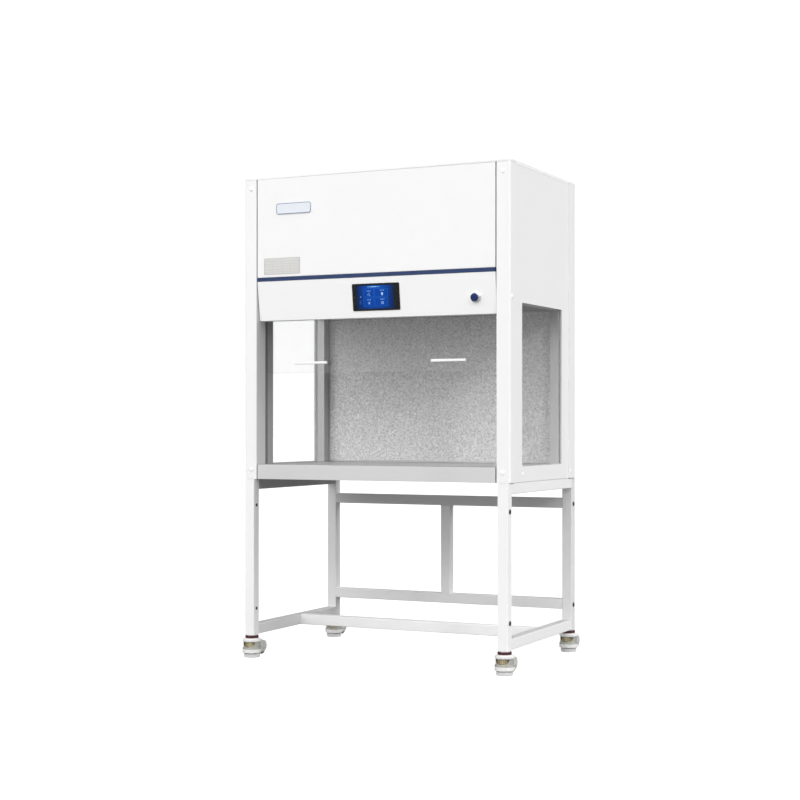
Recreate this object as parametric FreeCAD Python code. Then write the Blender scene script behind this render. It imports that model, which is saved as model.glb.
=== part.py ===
# Horizontal laminar flow cabinet on a wheeled tube stand.
# Units: millimetres.  +Z up, +X to the right seen from the front, +Y towards the back.
# Origin: floor level, centre of the outer box seen from above.
import FreeCAD, Part
import math
import os

V = FreeCAD.Vector

# ------------------------------------------------------------------ driving dimensions
W = 1100.0                 # cabinet width
D = 688.0                  # cabinet depth
Z_BASE = 690.0             # underside of the cabinet
Z_TOP = 1847.0             # top of the cabinet
LID = 10.0                 # height of the lid's skirt
SHEET = 1.5                # sheet metal thickness
Z_SHIFT = 5.5              # heights below are counted from 5.5 mm under the floor, casters apart
Y_SHIFT = 370.0            # distance from the cabinet's front face back to the origin

COL_IN = 495.5             # inner edge of the front columns
COL_D = 54.0               # depth of the front columns
COL_R = 9.0                # radius of the outer vertical corners
COL_LIP_Y = 66.0           # back edge of the columns' inner lip beside the sash
PANEL_HALF = 492.0         # half width of the front panels between the columns
RECESS = 5.0               # side skins stand this far inside the columns
REAR_Y = 620.0             # front edge of the rear corner returns

WALL_IN = 497.0            # inner face of the chamber's side walls
WIN_Y0, WIN_Y1 = 127.0, 545.0      # side window opening, front to back
WIN_Z0, WIN_Z1 = 746.6, 1341.0     # side window opening, bottom to top
PANE_IN = 532.3            # inner face of the side window pane
PANE_T = 5.0

TRAY_Z = 745.6             # work surface
CEIL_Z = 1345.0            # chamber ceiling
DIFF_Y = 587.0             # front face of the diffuser screen
HEPA_Y0, HEPA_Y1 = 600.0, 650.0

STRIPE_Z0, STRIPE_Z1 = 1445.6, 1460.6
CP_TOP, CP_BOT, CP_BACK = 1445.2, 1296.0, 18.0   # control panel: top, bottom, set-back at the bottom

SCR_X, SCR_Z, SCR_W, SCR_H = 11.8, 1371.7, 195.0, 101.0
BTN_X, BTN_Z = 412.0, 1357.0
BTN_TRAVEL = 3.5

SASH_Y, SASH_T = 67.5, 6.0
SASH_HALF = 505.0
SASH_Z0, SASH_H = 1096.5, 575.0
HANDLE_X, HANDLE_L, HANDLE_Z, HANDLE_H = 287.0, 139.0, 1134.0, 10.5

TUBE, WALL = 40.0, 2.0     # stand tube
STAND_X = 543.5            # outer faces of the legs
STAND_Y0, STAND_Y1 = -9.0, 700.0
LEG_Z0, LEG_Z1 = 91.0, 689.8
UP_BEAM_Z = 649.8          # underside of the upper side beams
REAR_UP_Z = 570.0          # underside of the rear upper beam
REAR_LO_Z = 173.0          # underside of the rear lower beam
LOW_Z = 93.0               # underside of the lower side beams and the cross beam
CROSS_Y = 359.0            # front face of the cross beam
LEG_IN = STAND_X - TUBE

LEG_CX = STAND_X - TUBE / 2.0
LEG_CY_F = STAND_Y0 + TUBE / 2.0
LEG_CY_R = STAND_Y1 - TUBE / 2.0

# caster, local frame on the stem's axis, wheel trailing to +Y
STEM_R = 6.0
RUN = 0.08                 # radial running clearance
WHEEL_R, WHEEL_HALF = 25.0, 12.0
WHEEL_Y, WHEEL_Z = 60.0, 29.5
AXLE_R = 4.0
FOOT_R = 29.8
SPINDLE_R = 5.0
DIAL_R = 25.4

FAN_Y = 380.0              # fan axis


# ------------------------------------------------------------------ helpers
def box(x0, x1, y0, y1, z0, z1):
    return Part.makeBox(x1 - x0, y1 - y0, z1 - z0, V(x0, y0, z0))


def cyl(r, h, p, d=(0, 0, 1)):
    return Part.makeCylinder(r, h, V(*p), V(*d))


def straight_along(e, axis):
    if len(e.Vertexes) != 2:
        return False
    d = e.Vertexes[1].Point.sub(e.Vertexes[0].Point)
    if d.Length < 1e-6:
        return False
    d = d.multiply(1.0 / d.Length)
    return abs(abs(getattr(d, axis)) - 1.0) < 1e-6


def fillet_where(shape, r, axis, test=None):
    edges = []
    for e in shape.Edges:
        if straight_along(e, axis):
            m = e.CenterOfMass
            if test is None or test(m):
                edges.append(e)
    return shape.makeFillet(r, edges) if edges else shape


def tube(x0, x1, y0, y1, z0, z1, axis, t=WALL, r=3.0):
    outer = fillet_where(box(x0, x1, y0, y1, z0, z1), r, axis)
    if axis == "x":
        inner = box(x0 - 1, x1 + 1, y0 + t, y1 - t, z0 + t, z1 - t)
    elif axis == "y":
        inner = box(x0 + t, x1 - t, y0 - 1, y1 + 1, z0 + t, z1 - t)
    else:
        inner = box(x0 + t, x1 - t, y0 + t, y1 - t, z0 - 1, z1 + 1)
    inner = fillet_where(inner, max(r - t, 0.5), axis)
    return outer.cut(inner)


def prism_x(pts, x0, x1):
    w = Part.makePolygon([V(x0, y, z) for y, z in pts] + [V(x0, pts[0][0], pts[0][1])])
    return Part.Face(w).extrude(V(x1 - x0, 0, 0))


def prism_z(pts, z0, z1):
    w = Part.makePolygon([V(x, y, z0) for x, y in pts] + [V(pts[0][0], pts[0][1], z0)])
    return Part.Face(w).extrude(V(0, 0, z1 - z0))


def lathe(pts, cx=0.0, cy=0.0):
    # pts are (radius, z) pairs
    w = Part.makePolygon([V(cx + r, cy, z) for r, z in pts] + [V(cx + pts[0][0], cy, pts[0][1])])
    return Part.Face(w).revolve(V(cx, cy, 0), V(0, 0, 1), 360.0)


def mirror_x(s):
    return s.mirror(V(0, 0, 0), V(1, 0, 0))


def pair(s):
    return Part.makeCompound([s, mirror_x(s)])


def clean(s):
    try:
        s2 = s.removeSplitter()
        if s2.isValid() and abs(s2.Volume - s.Volume) < 1e-3 * max(abs(s.Volume), 1.0):
            return s2
    except Exception:
        pass
    return s


NODES = {}


def put(name, shape, dz=-Z_SHIFT):
    sh = shape.copy()
    sh.translate(V(0, -Y_SHIFT, dz))
    NODES[name] = sh


# ------------------------------------------------------------------ stand
legs_f = tube(LEG_IN, STAND_X, STAND_Y0, STAND_Y0 + TUBE, LEG_Z0, LEG_Z1, "z")
legs_r = tube(LEG_IN, STAND_X, STAND_Y1 - TUBE, STAND_Y1, LEG_Z0, LEG_Z1, "z")
put("front_legs", pair(legs_f))
put("rear_legs", pair(legs_r))
put("upper_side_beams", pair(tube(LEG_IN, STAND_X, STAND_Y0 + TUBE, STAND_Y1 - TUBE, UP_BEAM_Z, UP_BEAM_Z + TUBE, "y")))
put("lower_side_beams", pair(tube(LEG_IN, STAND_X, STAND_Y0 + TUBE, STAND_Y1 - TUBE, LOW_Z, LOW_Z + TUBE, "y")))
put("rear_upper_beam", tube(-LEG_IN, LEG_IN, STAND_Y1 - TUBE, STAND_Y1, REAR_UP_Z, REAR_UP_Z + TUBE, "x"))
put("rear_lower_beam", tube(-LEG_IN, LEG_IN, STAND_Y1 - TUBE, STAND_Y1, REAR_LO_Z, REAR_LO_Z + TUBE, "x"))
put("rear_post", tube(-TUBE / 2, TUBE / 2, STAND_Y1 - TUBE, STAND_Y1, REAR_LO_Z + TUBE, REAR_UP_Z, "z"))
put("cross_beam", tube(-LEG_IN, LEG_IN, CROSS_Y, CROSS_Y + TUBE, LOW_Z, LOW_Z + TUBE, "x"))

# plugs and bolt heads on the legs' side faces, level with the rear beams
bolts = []
for zc in (REAR_UP_Z + TUBE / 2, REAR_LO_Z + TUBE / 2):
    for yc in (LEG_CY_F, LEG_CY_R):
        for s in (1, -1):
            head = cyl(9.0, 1.4, (s * STAND_X, yc, zc - 3.0), (s, 0, 0))
            dome = Part.makeCone(9.0, 7.0, 1.2, V(s * (STAND_X + 1.4), yc, zc - 3.0), V(s, 0, 0))
            bolts.append(head.fuse(dome))
    for s in (1, -1):
        head = cyl(6.0, 1.4, (s * LEG_IN, LEG_CY_F, zc), (-s, 0, 0))
        dome = Part.makeCone(6.0, 4.2, 1.0, V(s * (LEG_IN - 1.4), LEG_CY_F, zc), V(-s, 0, 0))
        bolts.append(head.fuse(dome))
put("stand_bolts", Part.makeCompound(bolts))

# ------------------------------------------------------------------ cabinet shell
base = box(-COL_IN + 0.8, COL_IN - 0.8, 2.6, COL_D + 0.6, Z_BASE, Z_BASE + SHEET)
base = base.fuse(box(-543.0, 543.0, COL_D + 0.6, D - SHEET - 0.3, Z_BASE, Z_BASE + SHEET))
base = base.fuse(box(-480.0, 480.0, D - SHEET - 1.8, D - SHEET - 0.3, Z_BASE, Z_BASE + 40.0))
put("base_pan", clean(base))

tray = box(-PANEL_HALF - 0.5, PANEL_HALF + 0.5, 0.5, COL_D, Z_BASE + 0.3, TRAY_Z)
tray = tray.fuse(box(-WALL_IN + 0.5, WALL_IN - 0.5, COL_D, DIFF_Y - 0.5, TRAY_Z - SHEET, TRAY_Z))
tray = tray.cut(box(-PANEL_HALF - 2, PANEL_HALF + 2, 2.0, COL_D + 0.0, Z_BASE - 1, TRAY_Z - SHEET))
tray = fillet_where(tray, 1.2, "x", lambda m: abs(m.y - 0.5) < 0.01 and abs(m.z - TRAY_Z) < 0.01)
for s in (-1, 1):
    x0, x1 = sorted((s * (COL_IN - 0.6), s * (COL_IN + 6.0)))
    tray = tray.cut(box(x0, x1, COL_D - 1.0, COL_LIP_Y + 1.0, TRAY_Z - 3.0, TRAY_Z + 1.0))
put("work_tray", tray)

col = box(COL_IN, W / 2, 0, COL_D, Z_BASE, Z_TOP - LID - 0.4)
col = fillet_where(col, COL_R, "z", lambda m: abs(m.x - W / 2) < 0.1 and m.y < 0.1)
col = fillet_where(col, 2.5, "z", lambda m: abs(m.x - COL_IN) < 0.1 and m.y < 0.1)
coli = box(COL_IN + SHEET, W / 2 - SHEET, SHEET, COL_D - SHEET, Z_BASE - 1, Z_TOP)
coli = fillet_where(coli, COL_R - SHEET, "z", lambda m: abs(m.x - W / 2 + SHEET) < 0.1 and m.y < SHEET + 0.1)
col = col.cut(coli)
col = clean(col.fuse(box(COL_IN, COL_IN + SHEET, COL_D - SHEET, COL_LIP_Y, TRAY_Z + 0.6, 1320.0)))
put("front_columns", pair(col))

skin_out = W / 2 - RECESS
skin = box(skin_out - SHEET, skin_out, COL_D + 0.3, REAR_Y - 0.3, Z_BASE + 0.4, Z_TOP - LID - 0.4)
skin = skin.fuse(box(PANE_IN + PANE_T + 0.3, skin_out - 0.1, WIN_Y0 - SHEET, WIN_Y1 + SHEET, WIN_Z0 - SHEET, WIN_Z1 + SHEET))
skin = clean(skin.cut(box(skin_out - 15, skin_out + 5, WIN_Y0, WIN_Y1, WIN_Z0, WIN_Z1)))
put("side_panel_right", skin)
put("side_panel_left", mirror_x(skin))

iw = box(WALL_IN, WALL_IN + SHEET, 86.5, D - SHEET - 2.2, Z_BASE + SHEET + 0.3, CEIL_Z - 0.1)
iw = iw.fuse(box(WALL_IN, PANE_IN - 0.3, WIN_Y0 - SHEET, WIN_Y1 + SHEET, WIN_Z0 - SHEET, WIN_Z1 + SHEET))
iw = iw.cut(box(WALL_IN - 5, PANE_IN + 5, WIN_Y0, WIN_Y1, WIN_Z0, WIN_Z1))
put("inner_walls", pair(clean(iw)))

pane = box(PANE_IN, PANE_IN + PANE_T, WIN_Y0 - 10, WIN_Y1 + 10, WIN_Z0 - 9, CEIL_Z - 0.5)
put("side_windows", pair(pane))

lid = box(-W / 2, W / 2, 0, D, Z_TOP - LID, Z_TOP)
lid = fillet_where(lid, COL_R, "z")
lid = lid.makeFillet(1.2, [e for e in lid.Edges if abs(e.BoundBox.ZMin - Z_TOP) < 1e-6 and abs(e.BoundBox.ZMax - Z_TOP) < 1e-6])
lid = lid.cut(fillet_where(box(-W / 2 + SHEET, W / 2 - SHEET, SHEET, D - SHEET, Z_TOP - LID - 1, Z_TOP - SHEET), COL_R - SHEET, "z"))
for s in (-1, 1):
    x0, x1 = sorted((s * 545.6, s * 560.0))
    lid = lid.cut(box(x0, x1, COL_D + 0.3, REAR_Y - 0.3, Z_TOP - LID - 2, Z_TOP + 2))
    x0, x1 = sorted((s * 544.1, s * 545.6))
    lid = lid.fuse(box(x0, x1, COL_D + 0.3, REAR_Y - 0.3, Z_TOP - LID, Z_TOP - SHEET))
    x0, x1 = sorted((s * 544.1, s * (W / 2 - SHEET)))
    lid = lid.fuse(box(x0, x1, COL_D + 0.3 - SHEET, COL_D + 0.3, Z_TOP - LID, Z_TOP - SHEET))
    lid = lid.fuse(box(x0, x1, REAR_Y - 0.3, REAR_Y - 0.3 + SHEET, Z_TOP - LID, Z_TOP - SHEET))
lid = clean(lid)
slots = []
for i in range(24):
    sx = -230.0 + 20.0 * i
    slots.append(box(sx - 4, sx + 4, 230.0, 340.0, Z_TOP - 5, Z_TOP + 5))
    slots.append(box(sx - 4, sx + 4, 360.0, 470.0, Z_TOP - 5, Z_TOP + 5))
lid = lid.cut(Part.makeCompound(slots))
put("top_panel", lid)

back = fillet_where(box(-W / 2, W / 2, REAR_Y, D, Z_BASE + 0.4, Z_TOP - LID - 0.4), COL_R, "z", lambda m: m.y > D - 0.1)
backi = fillet_where(box(-W / 2 + SHEET, W / 2 - SHEET, REAR_Y + SHEET, D - SHEET, Z_BASE - 1, Z_TOP), COL_R - SHEET, "z", lambda m: m.y > D - SHEET - 0.1)
back = back.cut(backi).cut(box(-544, 544, REAR_Y - 1, REAR_Y + 3, Z_BASE - 1, Z_TOP))
INL_X, INL_Z = -430.0, 1420.0
back = back.cut(box(INL_X - 14.2, INL_X + 14.2, D - 5, D + 5, INL_Z - 10.7, INL_Z + 10.7))
put("back_panel", back)

ufp = box(-PANEL_HALF, PANEL_HALF, 0, 15.0, STRIPE_Z1 + 0.4, Z_TOP - LID - 0.5)
ufp = fillet_where(ufp, 1.2, "z", lambda m: m.y < 0.1)
ufp = fillet_where(ufp, 1.2, "x", lambda m: m.y < 0.1)
ufp = ufp.cut(box(-PANEL_HALF + SHEET, PANEL_HALF - SHEET, SHEET, 16.0, STRIPE_Z1 + 0.4 + SHEET, Z_TOP - LID - 0.5 - SHEET))
put("upper_front_panel", ufp)

stripe = box(-PANEL_HALF, PANEL_HALF, -0.8, 12.0, STRIPE_Z0, STRIPE_Z1)
stripe = fillet_where(stripe, 0.8, "x", lambda m: m.y < -0.7)
put("trim_stripe", stripe)

# control panel: a bent sheet that leans back towards its lower edge
tan_cp = CP_BACK / (CP_TOP - CP_BOT)
CP_ANG = math.degrees(math.atan(tan_cp))
off = SHEET / math.cos(math.radians(CP_ANG))


def cp_y(z):
    return (CP_TOP - z) * tan_cp


cpp = [(0, CP_TOP), (CP_BACK, CP_BOT), (60.0, CP_BOT), (60.0, CP_BOT + SHEET),
       (cp_y(CP_BOT + SHEET) + off, CP_BOT + SHEET), (cp_y(CP_TOP - SHEET) + off, CP_TOP - SHEET),
       (14.0, CP_TOP - SHEET), (14.0, CP_TOP)]
cp = prism_x(cpp, -PANEL_HALF, PANEL_HALF)
for s in (-1, 1):
    xa = s * PANEL_HALF
    xb = s * (PANEL_HALF - SHEET)
    cp = cp.fuse(prism_x([(0, CP_TOP), (CP_BACK, CP_BOT), (60.0, CP_BOT), (60.0, CP_BOT + 12), (14.0, CP_TOP)], min(xa, xb), max(xa, xb)))
cp = clean(cp)
cp = fillet_where(cp, 1.2, "x", lambda m: abs(m.y - CP_BACK) < 0.05 and abs(m.z - CP_BOT) < 0.05)


def on_panel(shape, x, z):
    # local frame: x across, -y out of the panel, z up the panel
    s = shape.copy()
    s.rotate(V(0, 0, 0), V(1, 0, 0), CP_ANG)
    s.translate(V(x, cp_y(z), z))
    return s


cp = cp.cut(on_panel(box(-91, 91, -6, 10, -46, 46), SCR_X, SCR_Z))
cp = cp.cut(on_panel(cyl(11.3, 20, (0, -8, 0), (0, 1, 0)), BTN_X, BTN_Z))
put("control_panel", cp)

# touch screen
bez = fillet_where(box(-SCR_W / 2, SCR_W / 2, -2.5, 0.0, -SCR_H / 2, SCR_H / 2), 5.0, "y")
bez = bez.makeFillet(0.8, [e for e in bez.Edges if abs(e.BoundBox.YMin + 2.5) < 1e-6 and abs(e.BoundBox.YMax + 2.5) < 1e-6])
bez = bez.fuse(box(-90, 90, 0, 22, -45, 45))
DSP = (-77.5, 73.5, -43.6, 42.8)
bez = bez.cut(box(DSP[0], DSP[1], -4, -0.9, DSP[2], DSP[3]))
put("screen_bezel", on_panel(clean(bez), SCR_X, SCR_Z))
put("screen_display", on_panel(box(DSP[0] + 0.1, DSP[1] - 0.1, -2.3, -0.9, DSP[2] + 0.1, DSP[3] - 0.1), SCR_X, SCR_Z))

# push button with its collar
ring = cyl(20.5, 3.0, (0, -3.0, 0), (0, 1, 0))
ring = ring.makeFillet(1.6, [e for e in ring.Edges if abs(e.BoundBox.YMin + 3.0) < 1e-6 and abs(e.BoundBox.YMax + 3.0) < 1e-6])
collar = cyl(16.4, 9.5, (0, -11.5, 0), (0, 1, 0))
collar = collar.makeFillet(0.8, [e for e in collar.Edges if abs(e.BoundBox.YMin + 11.5) < 1e-6 and abs(e.BoundBox.YMax + 11.5) < 1e-6])
ring = ring.fuse(collar).fuse(cyl(11.0, 30.0, (0, -1.0, 0), (0, 1, 0)))
ring = ring.cut(cyl(14.8, 12.0, (0, -14.0, 0), (0, 1, 0)))
ring = ring.cut(cyl(9.0 + RUN, 40, (0, -5, 0), (0, 1, 0)))
put("button_bezel", on_panel(clean(ring), BTN_X, BTN_Z))
btn = cyl(14.4, 11.0, (0, -17.0, 0), (0, 1, 0))
btn = btn.makeFillet(1.6, [e for e in btn.Edges if abs(e.BoundBox.YMin + 17.0) < 1e-6 and abs(e.BoundBox.YMax + 17.0) < 1e-6])
btn = btn.fuse(cyl(9.0, 30.0, (0, -8.0, 0), (0, 1, 0)))
put("power_button", on_panel(clean(btn), BTN_X, BTN_Z))

npl = fillet_where(box(-407.0, -258.6, -3.0, 0.0, 1699.0, 1740.0), 8.0, "y")
npl = npl.makeFillet(0.9, [e for e in npl.Edges if abs(e.BoundBox.YMin + 3.0) < 1e-6 and abs(e.BoundBox.YMax + 3.0) < 1e-6])
put("name_plate", npl)
put("data_plate", fillet_where(box(-462.5, -305.5, -0.8, 0.0, 1471.0, 1533.5), 2.5, "y"))

# ------------------------------------------------------------------ chamber
ceil = box(-543.0, 543.0, 86.5, D - SHEET - 0.3, CEIL_Z, CEIL_Z + SHEET)
ceil = ceil.fuse(box(-543.0, 543.0, 86.5, 86.5 + SHEET, CEIL_Z, Z_TOP - LID - 0.5))
ceil = ceil.cut(box(-480, 480, 654.0, 683.0, CEIL_Z - 1, CEIL_Z + 4))
put("chamber_ceiling", clean(ceil))

fix = box(-432, 432, 105, 165, 1312, CEIL_Z)
fix = fix.cut(box(-430.5, 430.5, 106.5, 163.5, 1300, CEIL_Z - SHEET))
for s in (-1, 1):
    for yc in (122.0, 148.0):
        x0, x1 = sorted((s * 424.0, s * 430.5))
        fix = fix.fuse(box(x0, x1, yc - 7, yc + 7, 1316, CEIL_Z - SHEET))
put("lamp_fixture", clean(fix))
put("lamp_tubes", Part.makeCompound([cyl(8.0, 847.6, (-423.8, yc, 1326.0), (1, 0, 0)) for yc in (122.0, 148.0)]))

dif = box(-WALL_IN + 0.5, WALL_IN - 0.5, DIFF_Y, DIFF_Y + 11, TRAY_Z + 0.6, CEIL_Z - 0.4)
dif = dif.cut(box(-WALL_IN + 2.0, WALL_IN - 2.0, DIFF_Y + SHEET, DIFF_Y + 12, TRAY_Z + 2.1, CEIL_Z - 1.9))
put("diffuser_screen", dif)

hz0, hz1 = 748.0, CEIL_Z - 0.5
fr = box(-495.5, 495.5, HEPA_Y0, HEPA_Y1, hz0, hz1).cut(box(-477, 477, HEPA_Y0 - 1, HEPA_Y1 + 1, hz0 + 18, hz1 - 18))
n = 60
pitch = 954.0 / n
front_pts, back_pts = [], []
for i in range(n + 1):
    x = -477.0 + pitch * i
    front_pts.append((x, HEPA_Y0 + 6.0))
    if i < n:
        front_pts.append((x + pitch / 2, HEPA_Y1 - 6.0))
back_pts = [(x, y + 4.0) for x, y in reversed(front_pts)]
pleat = prism_z(front_pts + back_pts, hz0 + 18, hz1 - 18)
put("hepa_filter", fr.fuse(pleat))

# ------------------------------------------------------------------ fan section
deck = box(-543.0, 543.0, 88.3, D - SHEET - 0.3, 1752.0, 1752.0 + SHEET)
deck = deck.cut(cyl(96.0, 10, (0, FAN_Y, 1748)))
bell = lathe([(96.0, 1753.5), (108.0, 1753.5), (108.0, 1752.0), (99.0, 1750.0), (92.0, 1741.0), (88.0, 1728.0), (86.5, 1728.0), (90.5, 1742.0), (96.0, 1750.5)], 0.0, FAN_Y)
deck = deck.fuse(bell)
for a in (45, 135, 225, 315):
    px = 150.0 * math.cos(math.radians(a))
    py = FAN_Y + 150.0 * math.sin(math.radians(a))
    deck = deck.fuse(cyl(5.0, 160.0, (px, py, 1592.0)))
ringp = cyl(165.0, 3.0, (0, FAN_Y, 1592.0)).cut(cyl(30.0, 10.0, (0, FAN_Y, 1588.0)))
deck = deck.fuse(ringp)
put("fan_deck", clean(deck))

mot = cyl(52.0, 48.0, (0, FAN_Y, 1595.0))
mot = mot.makeFillet(4.0, [e for e in mot.Edges if abs(e.BoundBox.ZMin - 1643.0) < 1e-6 and abs(e.BoundBox.ZMax - 1643.0) < 1e-6])
mot = mot.cut(cyl(8.0 + RUN, 60.0, (0, FAN_Y, 1590.0)))
put("fan_motor", mot)

imp = cyl(125.0, 2.0, (0, FAN_Y, 1660.0))
imp = imp.fuse(lathe([(95.0, 1736.0), (93.5, 1736.0), (98.0, 1727.5), (125.0, 1712.0), (125.0, 1713.8), (99.0, 1728.6)], 0.0, FAN_Y))
imp = imp.fuse(cyl(20.0, 26.0, (0, FAN_Y, 1644.0))).fuse(cyl(8.0, 62.0, (0, FAN_Y, 1600.0)))
for k in range(7):
    b = box(60.0, 122.0, -1.0, 1.0, 1661.0, 1725.0)
    b.rotate(V(60, 0, 0), V(0, 0, 1), 28.0)
    # keep each blade under the sloping shroud
    b.rotate(V(0, 0, 0), V(0, 0, 1), 360.0 / 7 * k)
    b.translate(V(0, FAN_Y, 0))
    imp = imp.fuse(b)
cut_top = lathe([(98.0, 1728.6), (125.0, 1713.8), (140.0, 1705.3), (140.0, 1760.0), (98.0, 1760.0)], 0.0, FAN_Y)
keep_ring = lathe([(95.0, 1736.0), (93.5, 1736.0), (98.0, 1727.5), (125.0, 1712.0), (125.0, 1713.8), (99.0, 1728.6)], 0.0, FAN_Y)
imp = imp.cut(cut_top).fuse(keep_ring)
imp = imp.common(cyl(125.0, 200.0, (0, FAN_Y, 1595.0)))
put("impeller", clean(imp))

filt = box(-262, 262, 208, 492, 1818, 1843)
filt = filt.cut(box(-250, 250, 220, 480, 1836, 1850))
put("intake_filter", filt)

cbx = box(-440, -240, 2.0, 52.0, 1500, 1680)
cbx = fillet_where(cbx, 4.0, "y")
cbx = cbx.cut(box(-438, -242, 0, 50.0, 1502, 1678))
cbx = cbx.fuse(box(-430, -250, 20.0, 21.6, 1502, 1678))
put("control_box", clean(cbx))

inl = fillet_where(box(INL_X - 25, INL_X + 25, D, D + 2.5, INL_Z - 15, INL_Z + 15), 3.0, "y")
inl = inl.fuse(box(INL_X - 13.8, INL_X + 13.8, D - 22, D + 1, INL_Z - 10.3, INL_Z + 10.3))
inl = inl.cut(box(INL_X - 12.2, INL_X + 12.2, D - 16, D + 5, INL_Z - 8.4, INL_Z + 8.4))
for dx, dz in ((-7.0, -2.0), (7.0, -2.0), (0.0, 2.6)):
    inl = inl.fuse(box(INL_X + dx - 1.0, INL_X + dx + 1.0, D - 18, D - 2, INL_Z + dz - 2.0, INL_Z + dz + 2.0))
put("power_inlet", clean(inl))

# ------------------------------------------------------------------ sash
trk = box(WALL_IN, WALL_IN + 17, COL_D + 0.4, 86.0, TRAY_Z + 1.0, Z_TOP - LID - 2.0)
trk = trk.cut(box(WALL_IN - 1, WALL_IN + 11, SASH_Y - 1.0, SASH_Y + SASH_T + 1.0, TRAY_Z - 5, Z_TOP))
put("sash_tracks", pair(trk))

glass = box(-SASH_HALF, SASH_HALF, SASH_Y, SASH_Y + SASH_T, SASH_Z0, SASH_Z0 + SASH_H)
glass = glass.makeChamfer(0.8, [e for e in glass.Edges if straight_along(e, "x") or straight_along(e, "z")])
put("sash_glass", glass)

handles = []
for s in (-1, 1):
    hx = s * HANDLE_X
    bar = box(hx - HANDLE_L / 2, hx + HANDLE_L / 2, SASH_Y - 21.0, SASH_Y - 12.0, HANDLE_Z - HANDLE_H / 2, HANDLE_Z + HANDLE_H / 2)
    bar = fillet_where(bar, 2.6, "x")
    for t in (-1, 1):
        px = hx + t * (HANDLE_L / 2 - 9.0)
        bar = bar.fuse(cyl(3.2, 14.0, (px, SASH_Y - 14.0, HANDLE_Z), (0, 1, 0)))
    handles.append(clean(bar))
put("sash_handles", Part.makeCompound(handles))

# ------------------------------------------------------------------ screw caps


def cap(p, d):
    c = Part.makeCone(9.4, 8.4, 1.4, V(*p), V(*d))
    q = (p[0] + d[0] * 1.4, p[1] + d[1] * 1.4, p[2] + d[2] * 1.4)
    return c.fuse(Part.makeCone(8.4, 4.8, 1.3, V(*q), V(*d)))


caps = []
for s in (-1, 1):
    caps.append(cap((s * 520.0, 0.0, 1803.0), (0, -1, 0)))
    caps.append(cap((s * 520.0, 0.0, 727.0), (0, -1, 0)))
    caps.append(cap((s * W / 2, 19.0, 1356.0), (s, 0, 0)))
    caps.append(cap((s * skin_out, 137.0, 718.0), (s, 0, 0)))
    caps.append(cap((s * W / 2, 631.0, 718.0), (s, 0, 0)))
put("screw_caps", Part.makeCompound(caps))

# ------------------------------------------------------------------ casters
POS = {"front_left": (-LEG_CX, LEG_CY_F), "front_right": (LEG_CX, LEG_CY_F),
       "rear_left": (-LEG_CX, LEG_CY_R), "rear_right": (LEG_CX, LEG_CY_R)}

STEM_Z = LEG_Z0 - Z_SHIFT            # underside of the leg above the floor
stem = cyl(STEM_R, STEM_Z + 2.0 - 64.0, (0, 0, 64.0)).fuse(cyl(22.5, 2.1, (0, 0, STEM_Z - 2.1)))
stem = stem.fuse(fillet_where(box(-17.8, 17.8, -17.8, 17.8, STEM_Z, STEM_Z + 18.0), 1.0, "z"))
stem = clean(stem)
seal = lathe([(STEM_R + 0.1, 73.8), (24.2, 73.8), (25.6, 75.0), (25.6, 82.2), (24.6, STEM_Z - 2.2), (STEM_R + 0.1, STEM_Z - 2.2)])

body = lathe([(SPINDLE_R + RUN, 27.0), (SPINDLE_R + RUN, 36.0), (28.6, 36.0), (28.6, 61.0), (STEM_R + RUN, 61.0),
              (STEM_R + RUN, 73.5), (24.5, 73.5), (27.0, 72.8), (34.8, 69.8), (35.9, 68.6), (35.9, 62.4), (35.2, 61.2), (32.6, 60.8), (32.6, 37.4),
              (35.2, 37.0), (36.0, 36.0), (36.0, 18.0), (35.0, 16.5), (30.6, 16.5), (30.6, 27.0)])
body.rotate(V(0, 0, 0), V(0, 0, 1), -37.0)
# finger opening at the front: straight above, rounded below
opening = []
for k in range(13):
    t = math.pi * k / 12.0
    opening.append(V(26.5 * math.cos(t), -45.0, 58.0 - 19.0 * math.sin(t)))
opening = Part.Face(Part.makePolygon(opening + [opening[0]])).extrude(V(0, 37.0, 0))
body = body.cut(opening)
body = body.cut(box(-14.2, 14.2, 20.0, 60.0, 5.0, 56.4).cut(cyl(30.2, 60.0, (0, 0, 2.0))))
CHEEK_R, CHEEK_Z = 22.0, 36.0
cheek = cyl(CHEEK_R, 3.4, (14.0, WHEEL_Y, CHEEK_Z), (1, 0, 0))
cheek = cheek.fuse(prism_x([(18.0, 19.0), (18.0, 67.0), (33.0, 67.0),
                            (WHEEL_Y + CHEEK_R * math.cos(math.radians(52)), CHEEK_Z + CHEEK_R * math.sin(math.radians(52))),
                            (WHEEL_Y, CHEEK_Z), (WHEEL_Y, CHEEK_Z - CHEEK_R + 0.6)], 14.0, 17.4))
cheek = cheek.cut(cyl(30.6, 60.0, (0, 0, 2.0)))
cheek = cheek.fuse(cyl(5.5, 1.4, (17.0, WHEEL_Y, WHEEL_Z), (1, 0, 0)))
cheek = clean(cheek)
body = body.fuse(cheek)
body = body.fuse(clean(mirror_x(cheek)))
body = body.fuse(cyl(AXLE_R, 30.0, (-15.0, WHEEL_Y, WHEEL_Z), (1, 0, 0)))
body = body.removeSplitter()

wheel = cyl(WHEEL_R, 2 * WHEEL_HALF, (-WHEEL_HALF, WHEEL_Y, WHEEL_Z), (1, 0, 0))
wheel = wheel.makeFillet(3.0, [e for e in wheel.Edges if e.BoundBox.XLength < 1e-6])
for s in (-1, 1):
    x0 = s * WHEEL_HALF
    wheel = wheel.cut(cyl(18.0, 2.0, (x0, WHEEL_Y, WHEEL_Z), (-s, 0, 0)).cut(cyl(8.0, 3.0, (x0 + s * 0.5, WHEEL_Y, WHEEL_Z), (-s, 0, 0))))
wheel = wheel.cut(cyl(AXLE_R + RUN, 40.0, (-20.0, WHEEL_Y, WHEEL_Z), (1, 0, 0)))

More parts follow.
